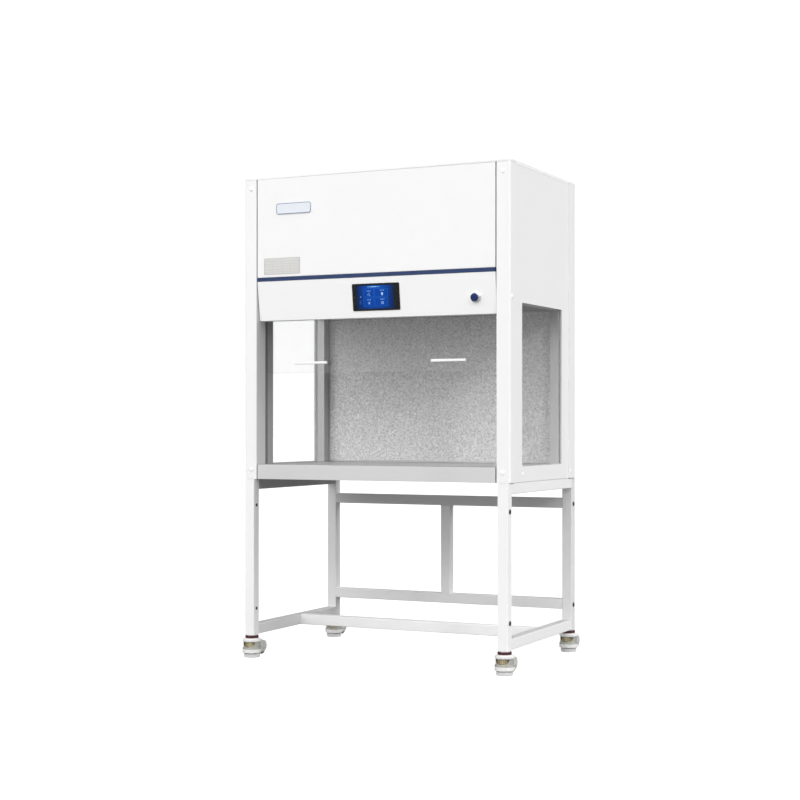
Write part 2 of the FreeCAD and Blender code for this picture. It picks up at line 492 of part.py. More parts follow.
# finger dial: toothed rim, thin hub above and below
rim = []
for k in range(24):
    for da, rr in ((0.0, DIAL_R), (7.5, DIAL_R), (9.0, DIAL_R - 1.6), (13.5, DIAL_R - 1.6)):
        a = math.radians(15.0 * k + da + 2.0)
        rim.append((rr * math.cos(a), rr * math.sin(a)))
dial = prism_z(rim, 39.5, 56.5)
dial = dial.fuse(cyl(9.0, 24.2, (0, 0, 36.4)))
dial = dial.cut(cyl(SPINDLE_R + RUN, 40.0, (0, 0, 30.0)))

foot = lathe([(0.0, 0.0), (28.4, 0.0), (FOOT_R, 1.2), (FOOT_R, 12.6), (28.4, 14.2), (12.0, 14.6), (SPINDLE_R, 14.6), (SPINDLE_R, 55.0), (0.0, 55.0)])


def at(s, p):
    c = s.copy()
    c.translate(V(p[0], p[1], 0))
    return c


put("caster_stems", Part.makeCompound([at(stem, p) for p in POS.values()]), 0.0)
put("seal_rings", Part.makeCompound([at(seal, p) for p in POS.values()]), 0.0)
for key, p in POS.items():
    put("caster_body_" + key, at(body, p), 0.0)
    put("caster_wheel_" + key, at(wheel, p), 0.0)
    put("level_dial_" + key, at(dial, p), 0.0)
    put("level_foot_" + key, at(foot, p), 0.0)

# ------------------------------------------------------------------ write one file per piece
os.makedirs("parts", exist_ok=True)
for name, shape in NODES.items():
    if not shape.isValid():
        print("INVALID", name)
    shape.exportStep(os.path.join("parts", name + ".step"))
bb = None
for shape in NODES.values():
    b = shape.BoundBox
    bb = FreeCAD.BoundBox(b.XMin, b.YMin, b.ZMin, b.XMax, b.YMax, b.ZMax) if bb is None else bb.united(b)
print("nodes", len(NODES), "box", [round(v, 2) for v in (bb.XMin, bb.YMin, bb.ZMin, bb.XMax, bb.YMax, bb.ZMax)])
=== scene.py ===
import bpy
import bmesh
import math
from mathutils import Vector, Matrix


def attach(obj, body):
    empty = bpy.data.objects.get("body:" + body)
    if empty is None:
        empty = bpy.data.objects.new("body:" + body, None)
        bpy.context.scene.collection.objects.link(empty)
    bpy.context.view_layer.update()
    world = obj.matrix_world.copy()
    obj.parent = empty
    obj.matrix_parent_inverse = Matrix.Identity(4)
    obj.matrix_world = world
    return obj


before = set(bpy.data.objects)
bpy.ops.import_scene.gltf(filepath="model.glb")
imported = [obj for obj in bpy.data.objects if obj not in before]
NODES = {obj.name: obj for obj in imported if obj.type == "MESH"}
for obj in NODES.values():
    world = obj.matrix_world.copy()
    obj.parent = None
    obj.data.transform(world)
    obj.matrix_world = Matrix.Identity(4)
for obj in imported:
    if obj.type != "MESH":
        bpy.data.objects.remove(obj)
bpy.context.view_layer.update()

YS = 0.370                      # front face of the cabinet lies this far in front of the origin
ZS = 0.0055                     # heights of the cabinet's pieces below are measured from this far under the floor
MM = 0.001


# ------------------------------------------------------------------ node-graph helpers
class Mat:
    """A node material under construction."""

    def __init__(self, name):
        self.m = bpy.data.materials.new(name)
        self.m.use_nodes = True
        self.t = self.m.node_tree
        self.t.nodes.clear()
        self.out = self.t.nodes.new("ShaderNodeOutputMaterial")
        self.tc = self.t.nodes.new("ShaderNodeTexCoord")
        self.obj = self.tc.outputs["Object"]

    def node(self, kind, props=None, **ins):
        n = self.t.nodes.new(kind)
        for k, v in (props or {}).items():
            setattr(n, k, v)
        for k, v in ins.items():
            key = k.replace("_", " ")
            s = n.inputs[int(k[1:])] if k[0] == "i" and k[1:].isdigit() else n.inputs[key]
            if isinstance(v, bpy.types.NodeSocket):
                self.t.links.new(v, s)
            else:
                s.default_value = v
        return n

    def mapping(self, scale=(1, 1, 1), rot=(0, 0, 0), loc=(0, 0, 0), src=None):
        n = self.node("ShaderNodeMapping", Vector=src or self.obj)
        n.inputs["Scale"].default_value = scale
        n.inputs["Rotation"].default_value = rot
        n.inputs["Location"].default_value = loc
        return n.outputs["Vector"]

    def noise(self, scale, detail=2.0, rough=0.5, vec=None, dist=0.0):
        n = self.node("ShaderNodeTexNoise", Vector=vec or self.obj, Scale=scale, Detail=detail, Roughness=rough, Distortion=dist)
        return n.outputs[0]

    def voronoi(self, scale, vec=None, feature="F1", rand=1.0):
        n = self.node("ShaderNodeTexVoronoi", {"feature": feature}, Vector=vec or self.obj, Scale=scale)
        n.inputs["Randomness"].default_value = rand
        return n.outputs["Distance"]

    def rng(self, v, a, b, c, d, clamp=True):
        n = self.node("ShaderNodeMapRange", {"clamp": clamp}, Value=v)
        n.inputs["From Min"].default_value = a
        n.inputs["From Max"].default_value = b
        n.inputs["To Min"].default_value = c
        n.inputs["To Max"].default_value = d
        return n.outputs["Result"]

    def math(self, op, a, b=None):
        n = self.t.nodes.new("ShaderNodeMath")
        n.operation = op
        for i, v in enumerate((a, b)):
            if v is None:
                continue
            if isinstance(v, bpy.types.NodeSocket):
                self.t.links.new(v, n.inputs[i])
            else:
                n.inputs[i].default_value = v
        return n.outputs[0]

    def xyz(self, src=None):
        n = self.node("ShaderNodeSeparateXYZ", Vector=src or self.obj)
        return n.outputs

    def ramp(self, fac, stops):
        n = self.node("ShaderNodeValToRGB", Fac=fac)
        r = n.color_ramp
        while len(r.elements) < len(stops):
            r.elements.new(0.5)
        for e, (p, c) in zip(r.elements, stops):
            e.position = p
            e.color = (c[0], c[1], c[2], 1.0) if not isinstance(c, float) else (c, c, c, 1.0)
        return n.outputs["Color"]

    def mix(self, fac, a, b, blend="MIX"):
        n = self.t.nodes.new("ShaderNodeMix")
        n.data_type = "RGBA"
        n.blend_type = blend
        for s, v in ((n.inputs[0], fac), (n.inputs[6], a), (n.inputs[7], b)):
            if isinstance(v, bpy.types.NodeSocket):
                self.t.links.new(v, s)
            elif s is n.inputs[0]:
                s.default_value = v
            else:
                s.default_value = (v[0], v[1], v[2], 1.0)
        return n.outputs[2]

    def bump(self, height, strength=0.1, dist=0.001, normal=None):
        n = self.node("ShaderNodeBump", Height=height, Strength=strength, Distance=dist)
        if normal is not None:
            self.t.links.new(normal, n.inputs["Normal"])
        return n.outputs["Normal"]

    def principled(self, **ins):
        n = self.t.nodes.new("ShaderNodeBsdfPrincipled")
        for k, v in ins.items():
            s = n.inputs[k.replace("_", " ")]
            if isinstance(v, bpy.types.NodeSocket):
                self.t.links.new(v, s)
            elif isinstance(v, tuple) and len(v) == 3 and len(s.default_value) == 4:
                s.default_value = (*v, 1.0)
            else:
                s.default_value = v
        return n

    def done(self, shader):
        self.t.links.new(shader, self.out.inputs["Surface"])
        return self.m


def powder(name, base, rough=0.36, peel=0.10, vary=0.02, low_dirt=0.0, inner=None, top=None):
    """Powder-coated sheet: fine orange peel, faint tone changes, gloss that wanders a little.
    inner is (distance from the middle plane, factor): faces nearer than that are darkened by factor, as painted shade.
    top is (height, factor): what lies above that height is darkened by factor, as painted shade."""
    m = Mat(name)
    big = m.noise(2.3, 3.0, 0.55)
    mid = m.noise(26.0, 3.0, 0.6)
    col = m.mix(m.rng(big, 0.3, 0.7, 0.0, 1.0), tuple(c * (1 - vary) for c in base), base)
    col = m.mix(m.rng(mid, 0.45, 0.75, 0.0, 0.12), col, tuple(c * 0.93 for c in base))
    if low_dirt > 0:
        z = m.xyz()[2]
        scuff = m.math("MULTIPLY", m.rng(z, 0.0, 0.25, low_dirt, 0.0), m.rng(m.noise(60.0, 4.0, 0.7), 0.35, 0.7, 0.2, 1.0))
        col = m.mix(scuff, col, (0.30, 0.29, 0.27))
    # painted shade: faces nearer the middle plane than inner[0] are darkened by inner[1]
    if inner is not None:
        ax = m.math("ABSOLUTE", m.xyz()[0])
        col = m.mix(m.rng(ax, inner[0] - 0.0002, inner[0] + 0.0002, 1.0, 0.0), col, tuple(c * inner[1] for c in base))
    # painted shade: faces above the height top[0] are darkened by top[1]
    if top is not None:
        col = m.mix(m.rng(m.xyz()[2], top[0] - 0.0002, top[0] + 0.0002, 0.0, 1.0), col, tuple(c * top[1] for c in base))
    peel_n = m.noise(620.0, 1.5, 0.45)
    wave = m.noise(90.0, 1.0, 0.4)
    h = m.math("ADD", peel_n, m.math("MULTIPLY", wave, 1.6))
    nor = m.bump(h, peel, 0.00025)
    r = m.rng(mid, 0.25, 0.75, rough - 0.03, rough + 0.06)
    p = m.principled(Base_Color=col, Roughness=r, Normal=nor)
    p.inputs["Specular IOR Level"].default_value = 0.45
    p.inputs["Coat Weight"].default_value = 0.12
    p.inputs["Coat Roughness"].default_value = 0.25
    return m.done(p.outputs[0])


def steel(name, base, axis=0, rough=0.30, spread=0.09, streak=0.05, smudge=0.10, metal=1.0):
    """Brushed stainless sheet: long fine streaks along one axis with faint smudges."""
    m = Mat(name)
    sc = [520.0, 520.0, 520.0]
    sc[axis] = 3.0
    fine = m.noise(1.0, 5.0, 0.65, vec=m.mapping(scale=tuple(sc)))
    sc2 = [90.0, 90.0, 90.0]
    sc2[axis] = 0.9
    wide = m.noise(1.0, 3.0, 0.55, vec=m.mapping(scale=tuple(sc2), loc=(3.1, 1.7, 0.4)))
    s = m.math("ADD", m.math("MULTIPLY", fine, 0.65), m.math("MULTIPLY", wide, 0.35))
    sm = m.noise(7.0, 4.0, 0.6)
    col = m.mix(m.rng(s, 0.3, 0.7, 0.0, 1.0), tuple(c * (1 - spread) for c in base), tuple(min(c * (1 + spread), 1.0) for c in base))
    col = m.mix(m.rng(sm, 0.5, 0.8, 0.0, smudge), col, tuple(c * 0.86 for c in base))
    r = m.math("ADD", m.rng(s, 0.3, 0.7, rough - 0.06, rough + 0.08), m.rng(sm, 0.45, 0.8, 0.0, smudge))
    nor = m.bump(fine, streak, 0.0002)
    p = m.principled(Base_Color=col, Roughness=r, Normal=nor)
    p.inputs["Metallic"].default_value = metal
    return m.done(p.outputs[0])


def plastic(name, base, rough=0.4, grain=0.06, coat=0.0, vary=0.05, scale=900.0, spec=0.5):
    m = Mat(name)
    big = m.noise(30.0, 3.0, 0.6)
    fine = m.noise(scale, 2.0, 0.5)
    col = m.mix(m.rng(big, 0.3, 0.7, 0.0, 1.0), tuple(c * (1 - vary) for c in base), tuple(min(1.0, c * (1 + vary)) for c in base))
    r = m.rng(big, 0.25, 0.75, rough - 0.04, rough + 0.06)
    nor = m.bump(fine, grain, 0.0002)
    p = m.principled(Base_Color=col, Roughness=r, Normal=nor)
    p.inputs["Specular IOR Level"].default_value = spec
    p.inputs["Coat Weight"].default_value = coat
    p.inputs["Coat Roughness"].default_value = 0.08
    return m.done(p.outputs[0])


def clear_glass(name, tint=(0.93, 0.96, 0.955), rough=0.02, dust=0.03, edge=None, border=None, face=0.035):
    """Flat float glass: what is behind shows through, with a surface reflection and a trace of dust.
    edge is (height where the ground lower edge ends, height where clear glass begins, tint, opacity).
    border is (y0, y1, z0, z1): outside it the pane carries a plain grey coat where the frame holds it."""
    m = Mat(name)
    d = m.noise(14.0, 5.0, 0.65)
    dustf = m.rng(d, 0.45, 0.85, 0.0, dust)
    p = m.principled(Base_Color=tuple(c * 0.9 for c in tint), Roughness=m.rng(d, 0.3, 0.8, rough, rough + 0.05))
    p.inputs["Specular IOR Level"].default_value = 0.5
    tr = m.node("ShaderNodeBsdfTransparent")
    tr.inputs["Color"].default_value = (*tint, 1.0)
    lw = m.node("ShaderNodeLayerWeight")
    lw.inputs["Blend"].default_value = 0.5
    f5 = m.math("POWER", lw.outputs["Facing"], 5.0)
    refl = m.rng(f5, 0.0, 1.0, face, 0.70)
    gl = m.node("ShaderNodeBsdfGlossy", Color=(1, 1, 1, 1), Roughness=rough)
    mx = m.node("ShaderNodeMixShader", i0=refl, i1=tr.outputs[0], i2=gl.outputs[0])
    mx2 = m.node("ShaderNodeMixShader", i0=dustf, i1=mx.outputs[0], i2=p.outputs[0])
    if border is not None:
        y0, y1, z0, z1 = border
        c = m.xyz()
        out = m.math("MAXIMUM", m.math("MAXIMUM", m.rng(c[1], y0 - 0.0002, y0, 1.0, 0.0), m.rng(c[1], y1, y1 + 0.0002, 0.0, 1.0)),
                     m.math("MAXIMUM", m.rng(c[2], z0 - 0.0002, z0, 1.0, 0.0), m.rng(c[2], z1, z1 + 0.0002, 0.0, 1.0)))
        pb = m.principled(Base_Color=m.mix(dustf, (0.74, 0.74, 0.74), (0.66, 0.66, 0.66)), Roughness=0.5)
        mx2 = m.node("ShaderNodeMixShader", i0=out, i1=mx2.outputs[0], i2=pb.outputs[0])
    if edge is None:
        return m.done(mx2.outputs[0])
    pe = m.principled(Base_Color=m.mix(dustf, edge[2], tuple(c * 0.9 for c in edge[2])), Roughness=0.35)
    te = m.node("ShaderNodeBsdfTransparent")
    te.inputs["Color"].default_value = (0.80, 0.86, 0.84, 1.0)
    me = m.node("ShaderNodeMixShader", i0=edge[3], i1=te.outputs[0], i2=pe.outputs[0])
    z = m.xyz()[2]
    fe = m.rng(z, edge[0], edge[1], 1.0, 0.0)
    mx3 = m.node("ShaderNodeMixShader", i0=fe, i1=mx2.outputs[0], i2=me.outputs[0])
    return m.done(mx3.outputs[0])


# ------------------------------------------------------------------ materials
WHITE = (0.875, 0.874, 0.873)
M = {}
M["cabinet_paint"] = powder("cabinet_paint", WHITE, 0.36, 0.10, 0.015)
# the cabinet white made lighter: painted light on the control panel
M["panel_paint_lit"] = powder("panel_paint_lit", (0.93, 0.929, 0.928), 0.36, 0.10, 0.010)
# painted shade: the side panels' faces inward of their outer skin are darkened to 0.62
M["side_paint"] = powder("side_paint", WHITE, 0.36, 0.10, 0.015, inner=(0.5432, 0.62))
# painted shade: the front columns' inner faces are darkened to 0.68
M["column_paint"] = powder("column_paint", WHITE, 0.36, 0.10, 0.015, inner=(0.4974, 0.68))
M["stand_paint"] = powder("stand_paint", (0.89, 0.889, 0.888), 0.40, 0.13, 0.015, low_dirt=0.06)
# the stand white darkened to 0.75: painted shade on the rear legs, rear lower beam and rear post under the cabinet
M["stand_rear_shaded"] = powder("stand_rear_shaded", (0.75, 0.749, 0.748), 0.40, 0.13, 0.015, low_dirt=0.06)
# painted shade: the lower side beams' inner faces are darkened to 0.82 and their top faces to 0.70
M["stand_sides"] = powder("stand_sides", (0.87, 0.869, 0.868), 0.40, 0.13, 0.015, low_dirt=0.06, inner=(0.5042, 0.82), top=(0.1269, 0.70))
# painted shade: the upper side beams' inner faces are darkened to 0.42
M["stand_top_sides"] = powder("stand_top_sides", (0.88, 0.879, 0.878), 0.40, 0.13, 0.015, inner=(0.5042, 0.42))
# painted shade: the front legs' inner faces are darkened to 0.93
M["stand_front"] = powder("stand_front", (0.89, 0.889, 0.888), 0.40, 0.13, 0.015, low_dirt=0.06, inner=(0.5037, 0.93))
# the stand white darkened to 0.57: painted shade on the rear upper beam beneath the cabinet
M["stand_rear_top_shaded"] = powder("stand_rear_top_shaded", (0.57, 0.57, 0.57), 0.40, 0.13, 0.015)
M["inside_paint"] = powder("inside_paint", (0.52, 0.52, 0.52), 0.45, 0.10, 0.03)
M["lid_paint"] = powder("lid_paint", (0.93, 0.93, 0.93), 0.38, 0.12, 0.01)
M["tray_steel"] = steel("tray_steel", (0.60, 0.60, 0.60), 0, 0.42, 0.04, 0.05, metal=0.55)
M["wall_steel"] = steel("wall_steel", (0.46, 0.46, 0.46), 1, 0.36, 0.07, 0.05, metal=0.6)
# the wall steel darkened to 0.20: painted shade on the chamber ceiling and lamp fixture
M["ceiling_steel_shaded"] = steel("ceiling_steel_shaded", (0.20, 0.20, 0.20), 0, 0.36, 0.07, 0.05, metal=0.7)
M["track_alu"] = steel("track_alu", (0.28, 0.281, 0.282), 2, 0.45, 0.05, 0.05, metal=0.6)
M["cap_plastic"] = plastic("cap_plastic", (0.93, 0.93, 0.93), 0.30, 0.04, 0.2, 0.01)
M["bolt_black"] = plastic("bolt_black", (0.022, 0.022, 0.024), 0.45, 0.08, 0.0, 0.15)
M["trim_blue"] = plastic("trim_blue", (0.022, 0.045, 0.130), 0.42, 0.03, 0.0, 0.10, spec=0.22)
M["bezel_black"] = plastic("bezel_black", (0.010, 0.011, 0.012), 0.26, 0.03, 0.05, 0.10, spec=0.20)
M["handle_white"] = plastic("handle_white", (0.90, 0.90, 0.90), 0.30, 0.04, 0.2, 0.01)
M["rubber_black"] = plastic("rubber_black", (0.022, 0.022, 0.023), 0.62, 0.25, 0.0, 0.2, 500.0)
M["socket_black"] = plastic("socket_black", (0.02, 0.02, 0.021), 0.5, 0.15, 0.0, 0.15, 700.0)
M["seal_red"] = plastic("seal_red", (0.060, 0.006, 0.010), 0.42, 0.12, 0.1, 0.15, 600.0)
M["foot_grey"] = plastic("foot_grey", (0.66, 0.665, 0.66), 0.50, 0.10, 0.0, 0.04)
M["name_face"] = plastic("name_face", (0.70, 0.74, 0.80), 0.22, 0.02, 0.6, 0.02)
M["name_rim"] = plastic("name_rim", (0.10, 0.15, 0.32), 0.25, 0.02, 0.5, 0.05)
M["plate_metal"] = steel("plate_metal", (0.55, 0.546, 0.533), 0, 0.42, 0.07, 0.05, metal=0.55)
M["plate_ink"] = plastic("plate_ink", (0.30, 0.30, 0.29), 0.5, 0.03)
M["chrome_ring"] = steel("chrome_ring", (0.84, 0.84, 0.86), 2, 0.22, 0.03, 0.01, 0.03, metal=0.7)
M["zinc"] = steel("zinc", (0.62, 0.63, 0.64), 2, 0.32, 0.06, 0.04)
M["motor_black"] = plastic("motor_black", (0.05, 0.052, 0.056), 0.5, 0.2, 0.0, 0.2, 400.0)
M["blade_alu"] = steel("blade_alu", (0.70, 0.71, 0.72), 2, 0.36, 0.05, 0.05)
M["board_green"] = plastic("board_green", (0.02, 0.14, 0.06), 0.45, 0.1, 0.1, 0.2)


def mat_blue_button():
    m = Mat("button_blue")
    x, y, z = m.xyz()[0], m.xyz()[1], m.xyz()[2]
    d = m.noise(60.0, 3.0, 0.5)
    col = m.mix(m.rng(d, 0.3, 0.7, 0.0, 1.0), (0.005, 0.020, 0.095), (0.008, 0.028, 0.14))
    nor = m.bump(m.noise(700.0, 1.0), 0.03, 0.0002)
    p = m.principled(Base_Color=col, Roughness=m.rng(d, 0.2, 0.8, 0.12, 0.22), Normal=nor)
    p.inputs["Coat Weight"].default_value = 0.25
    p.inputs["Coat Roughness"].default_value = 0.05
    return m.done(p.outputs[0])


M["button_blue"] = mat_blue_button()


CASTER_Y = (0.011 - YS, 0.680 - YS)


def caster_radius(m):
    """Distance from the nearest caster's standing axis, from object coordinates."""
    s = m.xyz()
    dx = m.math("SUBTRACT", m.math("ABSOLUTE", s[0]), 0.5235)
    dy = m.math("MINIMUM", m.math("ABSOLUTE", m.math("SUBTRACT", s[1], CASTER_Y[0])), m.math("ABSOLUTE", m.math("SUBTRACT", s[1], CASTER_Y[1])))
    return m.math("SQRT", m.math("ADD", m.math("MULTIPLY", dx, dx), m.math("MULTIPLY", dy, dy))), s[2]


def mat_brass():
    """Turned brass that has dulled in patches; its faces inward of the rim carry painted shade where the housing covers
    them.
    """
    m = Mat("dial_brass")
    n1 = m.noise(70.0, 4.0, 0.6)
    n2 = m.noise(1.0, 4.0, 0.6, vec=m.mapping(scale=(60.0, 60.0, 900.0)))
    col = m.mix(m.rng(n1, 0.3, 0.75, 0.0, 1.0), (0.72, 0.64, 0.42), (0.54, 0.47, 0.28))
    r, z = caster_radius(m)
    # painted shade: the dial's faces nearer the axis than 22.5 mm are darkened
    col = m.mix(m.rng(r, 0.0225, 0.0250, 0.55, 0.0), col, (0.10, 0.085, 0.05))
    p = m.principled(Base_Color=col, Roughness=m.rng(n1, 0.2, 0.8, 0.30, 0.46), Normal=m.bump(n2, 0.12, 0.0003))
    p.inputs["Metallic"].default_value = 0.85
    return m.done(p.outputs[0])


M["dial_brass"] = mat_brass()


def mat_caster():
    """Pale enamel on the cone and the lower ring, bare grey casting in the waist and on the fork."""
    m = Mat("caster_two_tone")
    r, z = caster_radius(m)
    waist = m.math("MULTIPLY", m.rng(z, 0.0305, 0.0319, 0.0, 1.0), m.rng(z, 0.0606, 0.0612, 1.0, 0.0))
    fork = m.rng(r, 0.0363, 0.0370, 0.0, 1.0)
    grey = m.math("MAXIMUM", waist, fork)
    n1 = m.noise(140.0, 4.0, 0.65)
    n2 = m.noise(900.0, 2.0, 0.5)
    white = m.mix(m.rng(n1, 0.35, 0.75, 0.0, 1.0), (0.86, 0.855, 0.845), (0.78, 0.775, 0.765))
    cast = m.mix(m.rng(n1, 0.3, 0.7, 0.0, 1.0), (0.52, 0.515, 0.475), (0.40, 0.395, 0.36))
    cast = m.mix(fork, cast, (0.68, 0.68, 0.665))
    cast = m.mix(m.rng(m.noise(60.0, 3.0, 0.6), 0.55, 0.8, 0.0, 0.3), cast, (0.26, 0.255, 0.23))
    low = m.math("MULTIPLY", m.rng(z, 0.005, 0.030, 0.25, 0.0), m.rng(n1, 0.4, 0.7, 0.2, 1.0))
    white = m.mix(low, white, (0.40, 0.39, 0.37))
    col = m.mix(grey, white, cast)
    p = m.principled(Base_Color=col, Roughness=m.math("ADD", m.rng(grey, 0.0, 1.0, 0.33, 0.40), m.rng(n1, 0.3, 0.7, 0.0, 0.08)),
                     Metallic=m.rng(grey, 0.0, 1.0, 0.0, 0.35), Normal=m.bump(n2, 0.14, 0.00025))
    p.inputs["Coat Weight"].default_value = 0.1
    return m.done(p.outputs[0])


M["caster_body"] = mat_caster()


def mat_wheel():
    """Grey moulded disc with a black tread, split by distance from the axle (object coordinates)."""
    m = Mat("wheel_two_tone")
    s = m.xyz()
    # every wheel's axle lies at one of two depths; distance is taken to the nearer one
    y = s[1]
    yf = m.math("SUBTRACT", y, 0.011 - YS + 0.060)
    yr = m.math("SUBTRACT", y, 0.680 - YS + 0.060)
    ymin = m.math("MINIMUM", m.math("ABSOLUTE", yf), m.math("ABSOLUTE", yr))
    zz = m.math("SUBTRACT", s[2], 0.0295)
    r = m.math("SQRT", m.math("ADD", m.math("MULTIPLY", ymin, ymin), m.math("MULTIPLY", zz, zz)))
    f = m.rng(r, 0.0205, 0.0212, 0.0, 1.0)
    grain = m.noise(800.0, 2.0)
    wear = m.noise(120.0, 4.0, 0.65)
    col = m.mix(f, (0.34, 0.35, 0.37), (0.020, 0.020, 0.021))
    col = m.mix(m.rng(wear, 0.55, 0.8, 0.0, 0.25), col, (0.24, 0.23, 0.22))
    p = m.principled(Base_Color=col, Roughness=m.rng(f, 0.0, 1.0, 0.40, 0.62), Normal=m.bump(grain, 0.15, 0.0003))
    return m.done(p.outputs[0])


M["wheel"] = mat_wheel()


def mat_diffuser():
    """Fine perforated screen: small dark holes in rows, and a mottled satin face."""
    m = Mat("diffuser_screen")
    s = m.xyz()
    k = 2 * math.pi / 0.0024
    wx = m.math("SINE", m.math("MULTIPLY", s[0], k))
    wz = m.math("SINE", m.math("MULTIPLY", s[2], k))
    w = m.math("MULTIPLY", wx, wz)
    mot = m.noise(150.0, 3.0, 0.80, dist=0.6)
    mot2 = m.noise(330.0, 2.0, 0.7, dist=0.3)
    soft = m.noise(4.0, 3.0, 0.5)
    g = m.math("ADD", m.math("MULTIPLY", mot, 0.62), m.math("MULTIPLY", mot2, 0.38))
    col = m.ramp(m.rng(g, 0.40, 0.60, 0.0, 1.0), [(0.0, (0.42, 0.42, 0.42)), (0.5, (0.68, 0.68, 0.68)), (1.0, (0.93, 0.93, 0.93))])
    hole = m.rng(w, 0.45, 0.85, 0.0, 0.35)
    col = m.mix(hole, col, (0.26, 0.262, 0.26))
    col = m.mix(m.rng(soft, 0.3, 0.7, 0.0, 0.10), col, (0.56, 0.565, 0.56))
    h = m.math("SUBTRACT", m.math("MULTIPLY", mot2, 0.8), hole)
    p = m.principled(Base_Color=col, Roughness=m.rng(mot, 0.3, 0.7, 0.52, 0.70), Normal=m.bump(h, 0.35, 0.0004))
    p.inputs["Metallic"].default_value = 0.10
    return m.done(p.outputs[0])


M["diffuser"] = mat_diffuser()


def mat_filter_paper():
    m = Mat("filter_paper")
    f = m.noise(260.0, 5.0, 0.7)
    s = m.noise(9.0, 3.0)
    col = m.mix(m.rng(f, 0.3, 0.7, 0.0, 1.0), (0.76, 0.76, 0.73), (0.90, 0.90, 0.88))
    col = m.mix(m.rng(s, 0.4, 0.8, 0.0, 0.2), col, (0.70, 0.70, 0.67))
    p = m.principled(Base_Color=col, Roughness=m.rng(f, 0.3, 0.7, 0.80, 0.95), Normal=m.bump(f, 0.4, 0.0006))
    return m.done(p.outputs[0])


M["filter_paper"] = mat_filter_paper()


def mat_foam():
    m = Mat("intake_foam")
    c = m.voronoi(420.0)
    n = m.noise(160.0, 4.0, 0.7)
    col = m.mix(m.rng(c, 0.0, 0.6, 0.0, 1.0), (0.05, 0.052, 0.055), (0.20, 0.205, 0.21))
    p = m.principled(Base_Color=col, Roughness=m.rng(n, 0.3, 0.7, 0.85, 0.98), Normal=m.bump(c, 0.7, 0.0012))
    return m.done(p.outputs[0])


M["foam"] = mat_foam()


def mat_lamp():
    m = Mat("lamp_tube_glass")
    n = m.noise(40.0, 3.0)
    x = m.xyz()[0]
    ax = m.math("ABSOLUTE", x)
    endf = m.rng(ax, 0.395, 0.412, 0.0, 1.0)
    col = m.mix(endf, (0.90, 0.90, 0.89), (0.55, 0.56, 0.57))
    p = m.principled(Base_Color=col, Roughness=m.rng(n, 0.3, 0.7, 0.18, 0.26))
    p.inputs["Coat Weight"].default_value = 0.4
    return m.done(p.outputs[0])


M["lamp"] = mat_lamp()

M["window_glass"] = clear_glass("window_glass", (0.989, 0.989, 0.989), 0.02, 0.015, border=(0.1268 - YS, 0.5452 - YS, 0.7464 - ZS, 1.3412 - ZS))
M["sash_glass"] = clear_glass("sash_glass", (0.950, 0.952, 0.951), 0.02, 0.008, (1.0965 - ZS + 0.0004, 1.0965 - ZS + 0.0007, (0.80, 0.84, 0.83), 0.55), face=0.016)


# ------------------------------------------------------------------ screen picture
CP_TOP, CP_BOT, CP_BACK = 1.4452, 1.2960, 0.018
CP_ANG = math.atan(CP_BACK / (CP_TOP - CP_BOT))
SCR_X, SCR_Z = 0.0118, 1.3717
BTN_X, BTN_Z = 0.412, 1.357


def panel_frame(x, z):
    """Matrix of a frame on the leaning control panel: X right, -Y out of the panel, Z up along it."""
    y = (CP_TOP - z) * math.tan(CP_ANG) - YS
    return Matrix.Translation((x, y, z - ZS)) @ Matrix.Rotation(CP_ANG, 4, "X")


def mat_display():
    """Lit display: deep blue that fades towards both sides, with a fine pixel grid."""
    m = Mat("display_blue")
    s = m.xyz()
    u = m.math("ABSOLUTE", m.math("SUBTRACT", s[0], 0.0118 - 0.002))
    fu = m.rng(u, 0.020, 0.074, 1.0, 0.0)
    fz = m.rng(s[2], 1.328 - ZS, 1.405 - ZS, 0.45, 1.0)
    g = m.math("MULTIPLY", fu, fz)
    col = m.ramp(g, [(0.0, (0.004, 0.020, 0.100)), (0.4, (0.004, 0.046, 0.27)), (1.0, (0.006, 0.088, 0.47))])
    px = m.math("SINE", m.math("MULTIPLY", s[0], 2 * math.pi / 0.0006))
    pz = m.math("SINE", m.math("MULTIPLY", s[2], 2 * math.pi / 0.0006))
    grid = m.rng(m.math("MULTIPLY", px, pz), -1.0, 1.0, 0.0, 0.10)
    col = m.mix(grid, col, (0.002, 0.01, 0.05))
    p = m.principled(Base_Color=(0.002, 0.006, 0.02), Roughness=0.14, Emission_Color=col)
    p.inputs["Emission Strength"].default_value = 0.95
    p.inputs["Specular IOR Level"].default_value = 0.12
    return m.done(p.outputs[0])


def mat_glow(name, base, power, top=None):
    m = Mat(name)
    n = m.noise(220.0, 2.0)
    col = m.mix(m.rng(n, 0.3, 0.7, 0.0, 1.0), tuple(c * 0.92 for c in base), base)
    p = m.principled(Base_Color=tuple(c * 0.05 for c in base), Roughness=0.15, Emission_Color=col)
    p.inputs["Emission Strength"].default_value = power
    p.inputs["Specular IOR Level"].default_value = 0.12
    return m.done(p.outputs[0])


M["display"] = mat_display()
M["tile_blue"] = mat_glow("tile_blue", (0.004, 0.060, 0.36), 1.0)
M["tile_edge"] = mat_glow("tile_edge", (0.03, 0.15, 0.58), 1.0)
M["icon_pale"] = mat_glow("icon_pale", (0.25, 0.45, 0.80), 0.9)
M["icon_bright"] = mat_glow("icon_bright", (0.45, 0.72, 0.95), 0.95)
M["bar_bright"] = mat_glow("bar_bright", (0.12, 0.36, 0.78), 0.9)


# ------------------------------------------------------------------ mesh helpers
def paint_node(name, mat):
    o = NODES[name]
    o.data.materials.clear()
    o.data.materials.append(mat)
    return o


